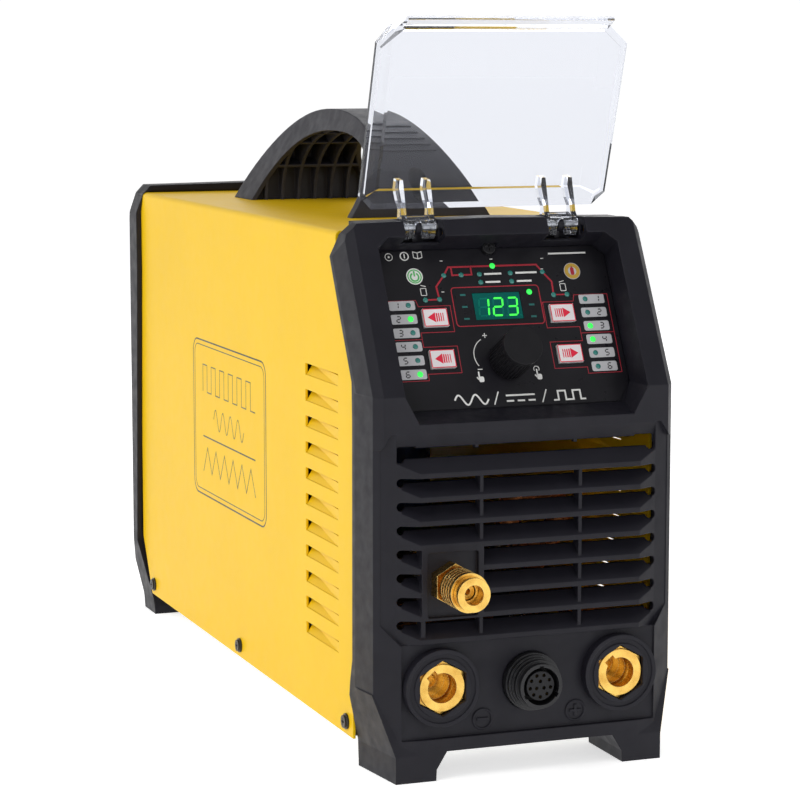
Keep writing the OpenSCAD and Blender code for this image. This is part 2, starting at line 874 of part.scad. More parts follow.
// Dished outline of the clear lid, moved in by g and out to the sheet
module lid_tray(g) {
    lip_y = 9.1;
    sheet_y = 16.6;
    low = 3.2 + g;
    high = 91.1 - g;
    half = 59.4 - g;
    corner = 8 - g / 2;
    intersection() {
        along_x([
            [lip_y - 3, low], [sheet_y - g, low + 7.4], [sheet_y - g, high - 3], [lip_y, high],
            [lip_y - 3, high]
        ], 140);
        translate([0, 0, -20]) linear_extrude(140) polygon(both_sides([
            [half, lip_y - 3], [half, lip_y + 2.2], [49.5 - g / 2 + 0.4, sheet_y - g]
        ]));
        along_y(both_sides([
            [half - corner, low], [half, low + corner], [half, high - 9], [half - 10.4, high]
        ]), 0, 20);
    }
}

module lid() {
    place() color("#dfe8f0", 0.35) on_lid() {
        difference() {
            union() {
                difference() {
                    lid_tray(0);
                    lid_tray(lid_t);
                    block([-80, 0, -10], [80, 9, 120]);
                }
                // Finger tab at the free edge
                along_x([
                    [9.2, 88.9], [10.4, 91.1], [9.2, 91.1], [4, 96.2], [2.6, 94.8], [8.4, 89.1]
                ], 97);
                // Cheeks and cross plates of the two hinge clips
                for (side = [-1, 1])
                    translate([side * web_x, 0, 0]) {
                        for (x = [-6.5, 6.5])
                                along_x_at([
                                    [-3.2, -4.4], [2.6, -4.4], [3.9, -2.4], [5.6, 6.6],
                                    [15.4, 11.6], [15.4, 17.6], [9.6, 18.6], [0.6, 5.6],
                                    [-3.4, 3.2], [-4, 1.2], [-4, -3]
                                ], 2.6, x);
                        difference() {
                            block([-6.5, -3.4, -4.2], [6.5, -1.6, 4.6]);
                            block([-1.9, -5, -6], [1.9, 1, 1.6]);
                            rod_y(1.9, -5, 1, 0, 1.6, 32);
                        }
                        block([-6.5, -3.4, 3.6], [6.5, 2.6, 4.6]);
                    }
            }
            for (side = [-1, 1])
                rod_x(pin_r + run_gap, side * web_x - 12, side * web_x + 12, 0, 0);
        }
    }
}

// An outline of [y, z] points extruded along X, centred on a given X
module along_x_at(points, width, x) {
    translate([x, 0, 0]) along_x(points, width);
}

module lid_pins() {
    place() color("silver")
        for (side = [-1, 1])
            rod_x(pin_r, side * web_x - 11, side * web_x + 11, hinge_y, hinge_z);
}

// ---------------------------------------------------------------- sockets

module socket_housing(x) {
    place() color("#26252b") difference() {
        union() {
            difference() {
                rod_y(17.2, -2.4, 2.2, x, socket_z, 96);
                // Sunk face inside the ring
                difference() {
                    rod_y(15.4, -3, -1.7, x, socket_z, 96);
                    rod_y(13.2, -4, 0, x, socket_z, 96);
                }
            }
            rod_y(14.1, 2.1, 24, x, socket_z, 96);
        }
        hex_y(21.6, -4, 20, x, socket_z);
        rod_y(6.2, 10, 30, x, socket_z);
    }
}

module socket_insert(x) {
    bore_r = socket_bore_d / 2;
    place() color(brass_tone) difference() {
        union() {
            intersection() {
                hex_y(21, -1.2, 19.8, x, socket_z);
                insert_trim(x);
            }
            rod_y(6, 19.7, 44, x, socket_z);
        }
        rod_y(bore_r, -3, 14, x, socket_z);
        // Keyway at the upper left and the locking groove behind it
        translate([x, 0, socket_z]) rotate([0, -40, 0]) block([-2.4, -3, 0], [2.4, 8, 8.4]);
        rod_y(8.4, 4, 8, x, socket_z);
        rod_y(3, 10, 18, x, socket_z, 32);
    }
}

// Round form that trims the insert's corners at the front
module insert_trim(x) {
    rod_y(10.4, -1.4, 0.6, x, socket_z);
    rod_y(13, 0.5, 21, x, socket_z);
}

module socket_left_housing() {
    socket_housing(-socket_x);
}

module socket_right_housing() {
    socket_housing(socket_x);
}

module socket_left_insert() {
    socket_insert(-socket_x);
}

module socket_right_insert() {
    socket_insert(socket_x);
}

module socket_nuts() {
    place() color(brass_tone)
        for (side = [-1, 1])
            difference() {
                hex_y(19, 24, 30, side * socket_x, socket_z);
                rod_y(6, 20, 40, side * socket_x, socket_z);
            }
}

module bus_bars() {
    place() color("#c77b3b")
        for (side = [-1, 1])
            difference() {
                union() {
                    block([side * socket_x - 10, 30, socket_z - 10],
                        [side * socket_x + 10, 33, socket_z + 22]);
                    block([side * socket_x - 10, 30, socket_z + 19],
                        [side * socket_x + 10, 78, socket_z + 22]);
                }
                rod_y(6, 20, 40, side * socket_x, socket_z);
            }
}

// Sideways place of the control socket
plug_x = 0.4;

// Stepped turned shell, with a thread in front for the plug's ring
module control_socket_shell() {
    place() color("#1b1b1e") difference() {
        union() {
            rod_y(12.9, -1.2, 2.8, plug_x, plug_z);
            rod_y(12.3, -3.4, -1, plug_x, plug_z);
            rod_y(11.6, -5, -3.2, plug_x, plug_z);
            rod_y(11, -7.6, -4.8, plug_x, plug_z);
            rod_y(9.9, -10.6, 16, plug_x, plug_z);
        }
        rod_y(8.4, -12, 0, plug_x, plug_z);
        rod_y(6.6, -13, 20, plug_x, plug_z);
        // Three guide grooves
        for (a = [0, 120, 240])
            translate([plug_x, 0, plug_z]) rotate([0, a, 0]) block([-1, -12, 6], [1, -4, 9]);
    }
}

module control_socket_insert() {
    place() color("#222225") difference() {
        union() {
            rod_y(6.5, -9.4, 14, plug_x, plug_z);
            rod_y(8.3, -1, 0, plug_x, plug_z);
        }
        contact_places() {
            rod_y(0.8, -12, -6, 0, 0, 24);
            rod_y(0.7, -6.1, 15, 0, 0, 24);
        }
    }
}

// Twelve contacts: nine in a ring and three inside it
module contact_places() {
    translate([plug_x, 0, plug_z]) {
        for (i = [0 : 8])
            rotate([0, 40 * i + 20, 0]) translate([0, 0, 4.9]) children();
        for (i = [0 : 2])
            rotate([0, 120 * i, 0]) translate([0, 0, 2]) children();
    }
}

module control_socket_contacts() {
    place() color(brass_tone) contact_places() rod_y(0.7, -6, 17, 0, 0, 24);
}

module control_socket_nut() {
    place() color("silver") difference() {
        hex_y(24, 5, 8.5, plug_x, plug_z);
        rod_y(9.9, 0, 20, plug_x, plug_z);
    }
}

// ---------------------------------------------------------------- gas coupler

module coupler_body() {
    bore_r = coupler_bore_d / 2;
    place() color(brass_tone) difference() {
        union() {
            hex_y(17, -4.6, 2.2, coupler_x, coupler_z);
            rod_y(6, -24, -4, coupler_x, coupler_z);
            rod_y(7.45, -26, -21.2, coupler_x, coupler_z);
            rod_y(6.5, 2, 15, coupler_x, coupler_z);
            rod_y(3.2, 14, 30, coupler_x, coupler_z);
            for (y = [20, 24, 28])
                rod_y(3.6, y, y + 1.4, coupler_x, coupler_z);
        }
        rod_y(bore_r, -28, -18, coupler_x, coupler_z);
        rod_y(bore_r - 0.5, -19, -8, coupler_x, coupler_z);
        rod_y(2.6, -9, 4, coupler_x, coupler_z);
        rod_y(1.6, 3, 32, coupler_x, coupler_z);
    }
}

module coupler_sleeve() {
    place() color(brass_tone) difference() {
        rod_y(8.65, -20.9, -7.9, coupler_x, coupler_z);
        rod_y(6 + run_gap, -22, -7, coupler_x, coupler_z);
        for (i = [0 : 3])
            difference() {
                rod_y(10, -18.6 + 2.6 * i, -17.5 + 2.6 * i, coupler_x, coupler_z);
                rod_y(8.15, -20, -5, coupler_x, coupler_z);
            }
    }
}

module coupler_valve() {
    place() color(brass_tone) difference() {
        union() {
            rod_y(2.6 - run_gap, -16, 1, coupler_x, coupler_z);
            rod_y(3.4, -17.6, -15, coupler_x, coupler_z);
        }
        rod_y(1.5, -19, -10, coupler_x, coupler_z, 32);
    }
}

module coupler_nut() {
    place() color(brass_tone) difference() {
        hex_y(17, grille_back_y, 11, coupler_x, coupler_z);
        rod_y(6.5, 0, 20, coupler_x, coupler_z);
    }
}

// ---------------------------------------------------------------- rear fittings

module power_switch_housing() {
    place() color("#19191b") difference() {
        union() {
            block([switch_x - 15.5, rear_wall_y, rear_top_z - 12.5],
                [switch_x + 15.5, rear_wall_y + 2, rear_top_z + 12.5]);
            block([switch_x - 13.4, 378, rear_top_z - 10.4],
                [switch_x + 13.4, rear_wall_y, rear_top_z + 10.4]);
        }
        block([switch_x - 12.2, 388, rear_top_z - 9], [switch_x + 12.2, 420, rear_top_z + 9]);
        rod_x(1.5 + run_gap, switch_x - 12.9, switch_x + 12.9, pivot_y, rear_top_z);
    }
}

// Pivot of the power switch
pivot_y = 397;

// Turns the power switch's rocker about its pivot
module rock(angle) {
    translate([0, pivot_y, rear_top_z]) rotate([angle, 0, 0])
        translate([0, -pivot_y, -rear_top_z]) children();
}

module power_switch_rocker() {
    place() color("#b3201c") rock(-10) difference() {
        union() {
            intersection() {
                rod_x(8.6, switch_x - 11.8, switch_x + 11.8, pivot_y, rear_top_z);
                block([switch_x - 20, pivot_y + 1, 150], [switch_x + 20, pivot_y + 12, 230]);
            }
            block([switch_x - 2, 392, rear_top_z - 2],
                [switch_x + 2, pivot_y + 3, rear_top_z + 2]);
            rod_x(1.5, switch_x - 12.8, switch_x + 12.8, pivot_y, rear_top_z);
        }
        // Hollow that makes the two pads of the rocker
        rod_x(18, switch_x - 20, switch_x + 20, pivot_y + 23.8, rear_top_z);
    }
}

module cable_gland() {
    place() color("#202023") difference() {
        union() {
            hex_y(24, rear_wall_y, rear_wall_y + 6, gland_x, rear_top_z);
            rod_y(10, 384, rear_wall_y + 12, gland_x, rear_top_z);
            rod_y(10.8, rear_wall_y + 8, rear_wall_y + 20, gland_x, rear_top_z, 12);
        }
        rod_y(5.5, 370, 440, gland_x, rear_top_z);
    }
}

module cable_gland_nut() {
    place() color("#202023") difference() {
        hex_y(24, 390, rear_wall_y - wall_t, gland_x, rear_top_z);
        rod_y(10, 380, 420, gland_x, rear_top_z);
    }
}

module gas_inlet() {
    place() color(brass_tone) difference() {
        union() {
            hex_y(14, rear_wall_y, rear_wall_y + 5, inlet_x, rear_top_z);
            rod_y(6.5, 386, rear_wall_y + 1, inlet_x, rear_top_z);
            rod_y(3.6, rear_wall_y + 4, rear_y, inlet_x, rear_top_z);
            for (i = [0 : 3])
                translate([inlet_x, rear_y - 1.4 - 4.6 * i, rear_top_z]) rotate([90, 0, 0])
                    cylinder(r1 = 3.6, r2 = 4.5, h = 3.2, $fn = 48);
        }
        rod_y(2.4, 380, 440, inlet_x, rear_top_z);
    }
}

module gas_valve() {
    place() color("#3a3f45") {
        difference() {
            block([inlet_x - 12, 352, rear_top_z - 11], [inlet_x + 12, 386, rear_top_z + 11]);
            rod_y(2.4, 340, 400, inlet_x, rear_top_z);
        }
        translate([inlet_x, 369, rear_top_z + 11]) cylinder(r = 9, h = 20, $fn = 48);
        difference() {
            rod_y(3.2, 340, 352.5, inlet_x, rear_top_z);
            rod_y(1.6, 330, 360, inlet_x, rear_top_z);
        }
    }
}

// Corner points of the inner gas hose, from the valve to the coupler
hose_route = [
    [0, 339.8, 192], [0, 330, 192], [-24, 300, 196], [-46, 260, 196], [-52, 200, 190],
    [-54, 140, 162], [-54, 90, 120], [-46, 56, 94], [-37.7, 42, 87], [-37.7, 30.4, 87]
];
hose_r = 4.6;
hose_end_r = 5;
hose_sides = 10;

// A point on the smooth curve through the route: k is the run, f goes from 0 to 1
function route_point(k, f) =
    let (
        last = len(hose_route) - 1,
        p0 = hose_route[max(k - 1, 0)],
        p1 = hose_route[k],
        p2 = hose_route[k + 1],
        p3 = hose_route[min(k + 2, last)]
    )
    0.5 * (2 * p1 + (p2 - p0) * f + (2 * p0 - 5 * p1 + 4 * p2 - p3) * f * f
        + (3 * p1 - p0 - 3 * p2 + p3) * f * f * f);

hose_line = concat(
    [for (k = [0 : len(hose_route) - 2]) for (j = [0 : 3]) route_point(k, j / 4)],
    [hose_route[len(hose_route) - 1]]
);

// One ring of points around the hose's line
function hose_ring(i) =
    let (
        last = len(hose_line) - 1,
        along = hose_line[min(i + 1, last)] - hose_line[max(i - 1, 0)],
        dir = (i == 0 || i == last) ? [0, -1, 0] : along / norm(along),
        side = cross(dir, [0, 0, 1]) / norm(cross(dir, [0, 0, 1])),
        up = cross(side, dir)
    )
    [
        for (j = [0 : hose_sides - 1])
            let (a = 360 * j / hose_sides)
                hose_line[i] + hose_r * (side * cos(a) + up * sin(a))
    ];

module gas_hose() {
    rings = len(hose_line);
    n = hose_sides;
    place() color("#2a2a2e") {
        polyhedron(
            points = [for (i = [0 : rings - 1]) each hose_ring(i)],
            faces = concat(
                [[for (j = [n - 1 : -1 : 0]) j]],
                [[for (j = [0 : n - 1]) (rings - 1) * n + j]],
                [
                    for (i = [0 : rings - 2])
                        for (j = [0 : n - 1])
                            let (a = i * n + j, b = i * n + (j + 1) % n)
                                each [[b, a + n, a], [b + n, a + n, b]]
                ]
            )
        );
        // Ends that slip over the two hose tails
        difference() {
            rod_y(hose_end_r, 15.6, 31, coupler_x, coupler_z);
            rod_y(3.65, 10, 30.2, coupler_x, coupler_z);
        }
        difference() {
            rod_y(hose_end_r, 339.2, 351.6, inlet_x, rear_top_z);
            rod_y(3.25, 340.2, 356, inlet_x, rear_top_z);
        }
    }
}

module fan_frame() {
    place() color("#1c1c1e") difference() {
        round_plate(46, fan_z - 46, fan_z + 46, 5, 371, 396.2);
        difference() {
            rod_y(43.4, 370, 400, 0, fan_z);
            rod_y(18, 390, 400, 0, fan_z);
            for (a = [45 : 90 : 135])
                translate([0, 0, fan_z]) rotate([0, a, 0])
                    block([-2, 391, -50], [2, 400, 50]);
        }
        rod_y(2 + run_gap, 380, 394, 0, fan_z);
        for (sx = [-1, 1])
            for (sz = [-1, 1])
                rod_y(1.5, 370, 400, sx * 41.25, fan_z + sz * 41.25);
    }
}

module fan_rotor() {
    place() color("#26262a") {
        rod_y(19, 373, 389.4, 0, fan_z);
        rod_y(2, 380, 393, 0, fan_z);
        for (i = [0 : 6])
            translate([0, 381, fan_z]) rotate([0, 360 * i / 7, 0])
                translate([0, 0, 18]) rotate([0, 0, 38]) block([-10, -1, 0], [10, 1, 23]);
    }
}

module fan_screws() {
    place() color(steel_black)
        for (sx = [-1, 1])
            for (sz = [-1, 1]) {
                rod_y(1.5, 380, rear_wall_y, sx * 41.25, fan_z + sz * 41.25, 32);
                rod_y(3, rear_wall_y, rear_wall_y + 2, sx * 41.25, fan_z + sz * 41.25, 32);
            }
}

// ---------------------------------------------------------------- inside

pillar_places = [
    for (x = [-56, 56])
        for (y = [176, 342])
            [x, y]
];

module main_board() {
    place() color("darkgreen") difference() {
        block([-62, 168, 70], [62, 350, 71.6]);
        for (p = pillar_places)
            translate([p[0], p[1], 60]) cylinder(r = 1.7, h = 20, $fn = 24);
    }
}

module board_pillars() {
    place() color("silver")
        for (p = pillar_places)
            translate([p[0], p[1], 0]) {
                translate([0, 0, 13 + sheet_t]) cylinder(d = 7, h = 70 - 13 - sheet_t, $fn = 6);
                translate([0, 0, 69]) cylinder(r = 1.5, h = 6, $fn = 24);
            }
}

module heatsinks() {
    place() color("lightgray")
        for (sx = [-1, 1]) {
            block([sx * 26 - 21, 186, 62], [sx * 26 + 21, 334, 69.5]);
            for (i = [0 : 7])
                block([sx * 26 - 21 + 5.7 * i, 186, 18], [sx * 26 - 18.9 + 5.7 * i, 334, 63]);
        }
}

module capacitors() {
    place() color("#20335c")
        for (x = [-34, 0, 34])
            for (y = [250, 300])
                translate([x, y, 71.6]) cylinder(r = 14, h = 46, $fn = 48);
}

module transformer_core() {
    place() color("#33343a") difference() {
        block([-30, 96, 13 + sheet_t], [30, 140, 66]);
        block([-20, 90, 26], [-9, 150, 54]);
        block([9, 90, 26], [20, 150, 54]);
    }
}

module transformer_windings() {
    place() color("#b06a2c") difference() {
        block([-19.5, 90, 27], [19.5, 146, 53]);
        block([-9.2, 80, 20], [9.2, 160, 60]);
        block([-30, 95.8, 10], [-19.7, 140.2, 70]);
    }
    place() color("#b06a2c") {
        block([-10, 90, 27], [10, 95.7, 53]);
        block([-10, 140.3, 27], [10, 146, 53]);
    }
}

module ignition_coil() {
    place() color("#a8552a") translate([42, 96, 96]) rotate([90, 0, 0]) {
        rotate_extrude($fn = 48) translate([13, 0]) circle(r = 6, $fn = 24);
    }
    place() color("#a8552a") block([38, 92, 13 + sheet_t], [46, 100, 84]);
}

front_bezel();
rear_bezel();
cover();
base_tray();
handle();
handle_screws();
cover_screws();
rear_screws();
panel_plate();
panel_overlay();
panel_screw();
display_window();
display_module();
key_upper_left();
key_lower_left();
key_upper_right();
key_lower_right();
encoder_knob();
encoder_shaft();
encoder_plunger();
encoder_body();
encoder_nut();
control_board();
key_switches();
lid();
lid_pins();
socket_left_housing();
socket_left_insert();
socket_right_housing();
socket_right_insert();
socket_nuts();
bus_bars();
control_socket_shell();
control_socket_insert();
control_socket_contacts();
control_socket_nut();
coupler_body();
coupler_sleeve();
coupler_valve();
coupler_nut();
power_switch_housing();
power_switch_rocker();
cable_gland();
cable_gland_nut();
gas_inlet();
gas_valve();
gas_hose();
fan_frame();
fan_rotor();
fan_screws();
main_board();
board_pillars();
heatsinks();
capacitors();
transformer_core();
transformer_windings();
ignition_coil();
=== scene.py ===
import json
import math

import bmesh
import bpy
from mathutils import Euler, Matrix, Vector


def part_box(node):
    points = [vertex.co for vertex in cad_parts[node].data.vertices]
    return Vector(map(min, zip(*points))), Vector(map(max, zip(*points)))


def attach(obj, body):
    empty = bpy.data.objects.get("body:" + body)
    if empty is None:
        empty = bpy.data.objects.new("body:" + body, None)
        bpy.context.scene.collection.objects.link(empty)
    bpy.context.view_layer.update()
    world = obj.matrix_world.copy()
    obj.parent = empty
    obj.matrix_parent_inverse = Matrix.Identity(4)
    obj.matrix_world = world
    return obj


# TIG welding machine: the finish of every CAD node, and the printed, moulded and
# glowing details on them. Positions are in metres in the CAD frame; flat artwork and
# lengths that end in _mm are in millimetres.

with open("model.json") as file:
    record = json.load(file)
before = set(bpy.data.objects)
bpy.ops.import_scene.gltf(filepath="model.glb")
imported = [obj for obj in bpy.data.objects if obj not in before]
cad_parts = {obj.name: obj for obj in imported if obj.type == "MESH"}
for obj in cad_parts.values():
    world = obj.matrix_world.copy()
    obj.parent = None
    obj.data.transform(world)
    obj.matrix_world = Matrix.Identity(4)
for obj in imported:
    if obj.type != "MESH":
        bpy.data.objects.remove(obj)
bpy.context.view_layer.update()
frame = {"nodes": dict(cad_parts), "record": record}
nodes = frame["nodes"]
MM = 0.001


# ------------------------------------------------------------------ materials

class Look:
    """A material's node tree, with short calls that add nodes and wire them."""

    def __init__(self, name):
        self.material = bpy.data.materials.new(name)
        self.material.use_nodes = True
        self.tree = self.material.node_tree
        self.shader = self.tree.nodes["Principled BSDF"]
        self.place = self.add("ShaderNodeTexCoord").outputs["Object"]

    def add(self, kind, settings=None, **inputs):
        node = self.tree.nodes.new(kind)
        for key, value in (settings or {}).items():
            setattr(node, key, value)
        for key, value in inputs.items():
            self.put(node, key, value)
        return node

    def put(self, node, key, value):
        """Sets an input, or wires an output to it. Underscores stand for spaces."""
        socket = node.inputs[int(key[1:])] if key[0] == "i" and key[1:].isdigit() \
            else node.inputs[key.replace("_", " ")]
        if isinstance(value, bpy.types.NodeSocket):
            self.tree.links.new(value, socket)
        else:
            socket.default_value = value

    def set(self, **inputs):
        for key, value in inputs.items():
            self.put(self.shader, key, value)
        return self

    def noise(self, size_mm, detail=3.0, stretch=(1, 1, 1)):
        """Noise whose blobs are about size_mm across, stretched along an axis."""
        spread = self.add("ShaderNodeMapping", Vector=self.place,
                          Scale=[1 / (size_mm * MM * s) for s in stretch])
        return self.add("ShaderNodeTexNoise", Vector=spread.outputs[0], Scale=1.0,
                        Detail=detail).outputs["Fac"]

    def ramp(self, value, low, high, out_low=0.0, out_high=1.0):
        return self.add("ShaderNodeMapRange", i0=value, i1=low, i2=high, i3=out_low,
                        i4=out_high).outputs[0]

    def times(self, a, b):
        return self.add("ShaderNodeMath", {"operation": "MULTIPLY"}, i0=a, i1=b).outputs[0]

    def mix(self, share, a, b):
        return self.add("ShaderNodeMix", {"data_type": "RGBA"}, i0=share, i6=a,
                        i7=b).outputs[2]

    def edges(self, radius_mm):
        """The normal with rounded edges, and how close a point is to an edge."""
        bevel = self.add("ShaderNodeBevel", {"samples": 6}, Radius=radius_mm * MM).outputs[0]
        normal = self.add("ShaderNodeNewGeometry").outputs["Normal"]
        flat = self.add("ShaderNodeVectorMath", {"operation": "DOT_PRODUCT"}, i0=bevel,
                        i1=normal).outputs["Value"]
        return bevel, self.ramp(flat, 0.995, 0.86)


def rgba(colour):
    return (*colour, 1.0)


def lighter(colour, amount):
    return tuple(min(1.0, c * amount) for c in colour)


def finish_of(name, colour, roughness, metallic=0.0, mottle=0.10, mottle_mm=14, grain_mm=0.5,
              grain=0.15, edge_mm=0.5, wear=0.0, wear_colour=None, stretch=(1, 1, 1),
              coat=0.0, coat_roughness=0.1, specular=0.5, rough_spread=0.08):
    """A solid material: colour mottle, grain bump, uneven gloss and worn edges."""
    look = Look(name)
    blotch = look.noise(mottle_mm, 4)
    base = look.mix(look.ramp(blotch, 0.3, 0.7), rgba(lighter(colour, 1 - mottle)),
                    rgba(lighter(colour, 1 + mottle)))
    bevel, edge = look.edges(edge_mm)
    if wear:
        patchy = look.times(edge, look.ramp(look.noise(3.5, 5), 0.40, 0.62, 0.25, 1.0))
        base = look.mix(look.times(patchy, wear), base,
                        rgba(wear_colour or lighter(colour, 3.0)))
    fine = look.noise(grain_mm, 2, stretch)
    bump = look.add("ShaderNodeBump", Strength=grain, Distance=0.1 * MM, Height=fine,
                    Normal=bevel).outputs[0]
    spread = look.ramp(look.noise(6, 5), 0.3, 0.7, roughness - rough_spread,
                       roughness + rough_spread)
    look.set(Base_Color=base, Roughness=spread, Normal=bump)
    look.set(Metallic=metallic, Specular_IOR_Level=specular, Coat_Weight=coat,
             Coat_Roughness=coat_roughness)
    return look.material


def moulded(name, colour, roughness=0.52, specular=0.22, **more):
    return finish_of(name, colour, roughness, grain_mm=0.45, grain=0.14, wear=0.22,
                     specular=specular, **more)


def turned_brass(name):
    """Brass with the fine rings that a lathe leaves, and darker stains."""
    look = Look(name)
    tone = look.mix(look.ramp(look.noise(5, 4), 0.35, 0.7), (0.86, 0.56, 0.14, 1),
                    (0.66, 0.38, 0.08, 1))
    bevel, edge = look.edges(0.25)
    tone = look.mix(look.times(edge, 0.6), tone, (1.0, 0.80, 0.38, 1))
    rings = look.noise(0.22, 2, (40, 1, 40))
    bump = look.add("ShaderNodeBump", Strength=0.22, Distance=0.05 * MM, Height=rings,
                    Normal=bevel).outputs[0]
    look.set(Base_Color=tone, Metallic=1.0, Normal=bump,
             Roughness=look.ramp(look.noise(2.2, 5), 0.3, 0.7, 0.16, 0.34))
    return look.material


def glowing(name, colour, strength):
    look = Look(name)
    glow = look.mix(look.noise(0.5, 2), rgba(colour), rgba(lighter(colour, 0.8)))
    look.set(Base_Color=glow, Roughness=0.3, Emission_Color=glow)
    look.set(Emission_Strength=strength)
    return look.material


def clear(name, tint, roughness):
    """Clear plastic with a few faint wipe marks."""
    look = Look(name)
    wipe = look.ramp(look.noise(9, 5, (1, 3, 1)), 0.45, 0.75, roughness, roughness + 0.02)
    look.set(Roughness=wipe)
    look.set(Base_Color=rgba(tint), Transmission_Weight=0.975, IOR=1.20)
    return look.material


BLACK = (0.0105, 0.0100, 0.0150)
GREY = (0.030, 0.0295, 0.0385)
YELLOW = (0.89, 0.560, 0.008)

slot_looks = {
    "black_plastic": moulded("bezel plastic", BLACK, 0.46, edge_mm=0.8),
    "grey_plastic": moulded("handle plastic", GREY, 0.50, edge_mm=0.9),
    "yellow_paint": finish_of("yellow powder coat", YELLOW, 0.36, mottle=0.02, mottle_mm=60,
                              grain_mm=1.1, grain=0.035, edge_mm=0.6, specular=0.08,
                              rough_spread=0.03),
    "zinc_steel": finish_of("zinc plated steel", (0.58, 0.58, 0.56), 0.33, metallic=1.0,
                            mottle=0.12, mottle_mm=7, grain_mm=0.4, grain=0.12, edge_mm=0.3),
    "black_steel": finish_of("blackened steel", (0.022, 0.022, 0.025), 0.36, metallic=0.4,
                             grain_mm=0.4, edge_mm=0.3, wear=0.5,
                             wear_colour=(0.25, 0.25, 0.26)),
    "overlay_film": finish_of("printed film", (0.0090, 0.0085, 0.0115), 0.34, mottle=0.2,
                              grain_mm=0.35, grain=0.08, edge_mm=0.3, specular=0.25),
    "green_window": finish_of("display window", (0.002, 0.105, 0.090), 0.20, mottle=0.1,
                              grain_mm=1.2, grain=0.03, edge_mm=0.3, specular=0.12),
    "key_white": finish_of("key film", (0.78, 0.74, 0.75), 0.36, mottle=0.04, grain_mm=0.4,
                           grain=0.10, edge_mm=0.5, coat=0.3),
    "knob_plastic": finish_of("knob plastic", (0.0075, 0.0072, 0.0090), 0.36, grain_mm=0.4,
                              grain=0.1, edge_mm=0.5, wear=0.2, specular=0.25),
    "dark_plastic": moulded("dark plastic", (0.014, 0.014, 0.016), 0.40, edge_mm=0.4),
    "light_plastic": moulded("light plastic", (0.70, 0.68, 0.62), 0.45, edge_mm=0.3),
    "circuit_board": finish_of("solder mask", (0.02, 0.13, 0.05), 0.30, mottle=0.25,
                               mottle_mm=4, grain_mm=0.8, grain=0.25, edge_mm=0.2),
    "clear_plastic": clear("clear lid plastic", (0.84, 0.86, 0.92), 0.004),
    "brass": turned_brass("turned brass"),
    "copper": finish_of("rolled copper", (0.80, 0.40, 0.22), 0.30, metallic=1.0,
                        mottle=0.15, grain_mm=0.4, stretch=(1, 20, 1), edge_mm=0.3),
    "copper_wire": finish_of("enamelled wire", (0.50, 0.18, 0.06), 0.28, metallic=0.7,
                             grain_mm=1.1, grain=0.8, stretch=(20, 1, 20), edge_mm=0.3),
    "black_anodised": finish_of("black anodising", (0.010, 0.010, 0.012), 0.34, metallic=0.2,
                                grain_mm=0.3, stretch=(30, 1, 30), edge_mm=0.3, wear=0.35,
                                wear_colour=(0.16, 0.16, 0.17)),
    "switch_red": moulded("switch red", (0.55, 0.02, 0.015), 0.30, edge_mm=0.4),
    "hose_rubber": moulded("hose rubber", (0.018, 0.018, 0.020), 0.60, edge_mm=0.3),
    "raw_aluminium": finish_of("extruded aluminium", (0.75, 0.76, 0.77), 0.32, metallic=1.0,
                               grain_mm=0.4, stretch=(1, 40, 1), edge_mm=0.3),
    "capacitor_sleeve": moulded("capacitor sleeve", (0.02, 0.04, 0.13), 0.28, edge_mm=0.4),
    "ferrite": moulded("ferrite", (0.040, 0.040, 0.045), 0.62, edge_mm=0.4),
}

print_white = finish_of("white print", (0.78, 0.78, 0.76), 0.42, mottle=0.06, grain_mm=0.4,
                        edge_mm=0.1)
print_grey = finish_of("pale grey print", (0.50, 0.50, 0.52), 0.42, mottle=0.06,
                       grain_mm=0.4, edge_mm=0.1)
print_red = finish_of("red print", (0.38, 0.012, 0.028), 0.42, mottle=0.08, grain_mm=0.4,
                      edge_mm=0.1)
print_key_red = finish_of("bright red print", (0.72, 0.010, 0.045), 0.40, mottle=0.05,
                          grain_mm=0.4, edge_mm=0.1)
print_black = finish_of("black print", (0.012, 0.011, 0.010), 0.42, mottle=0.08,
                        grain_mm=0.4, edge_mm=0.1)
print_teal = finish_of("teal print", (0.012, 0.13, 0.12), 0.42, mottle=0.1, grain_mm=0.4,
                       edge_mm=0.1)
print_green = finish_of("green print", (0.08, 0.46, 0.12), 0.40, mottle=0.08, grain_mm=0.4,
                        edge_mm=0.1)
print_yellow = finish_of("amber print", (0.50, 0.31, 0.04), 0.40, mottle=0.08, grain_mm=0.4,
                         edge_mm=0.1)
led_lit = glowing("lit green lamp", (0.035, 0.85, 0.09), 0.9)
led_dark = finish_of("unlit lamp", (0.02, 0.20, 0.17), 0.20, mottle=0.1, grain_mm=0.4,
                     edge_mm=0.2, coat=0.6)
digit_lit = glowing("lit digit", (0.05, 0.88, 0.07), 0.95)
digit_dark = finish_of("unlit digit", (0.003, 0.16, 0.12), 0.3, mottle=0.1, edge_mm=0.1,
                       specular=0.1)

slot_of = {s["node"]: s["material_slot"] for s in frame["record"]["subparts"]}
for node_name, node_object in nodes.items():
    node_look = slot_looks[slot_of[node_name]]
    slots = node_object.data.materials
    if not slots:
        slots.append(node_look)
    for index in range(len(slots)):
        slots[index] = node_look


# ------------------------------------------------------------------ flat printed shapes

def circle(x, z, radius, sides=28):
    return [(x + radius * math.cos(math.tau * i / sides),
             z + radius * math.sin(math.tau * i / sides)) for i in range(sides)]


def rounded(x0, x1, z0, z1, radius, steps=5):
    """A rectangle with round corners."""
    points = []
    for cx, cz, start in ((x1 - radius, z1 - radius, 0), (x0 + radius, z1 - radius, 90),
                          (x0 + radius, z0 + radius, 180), (x1 - radius, z0 + radius, 270)):
        for i in range(steps + 1):
            a = math.radians(start + 90 * i / steps)
            points.append((cx + radius * math.cos(a), cz + radius * math.sin(a)))
    return points


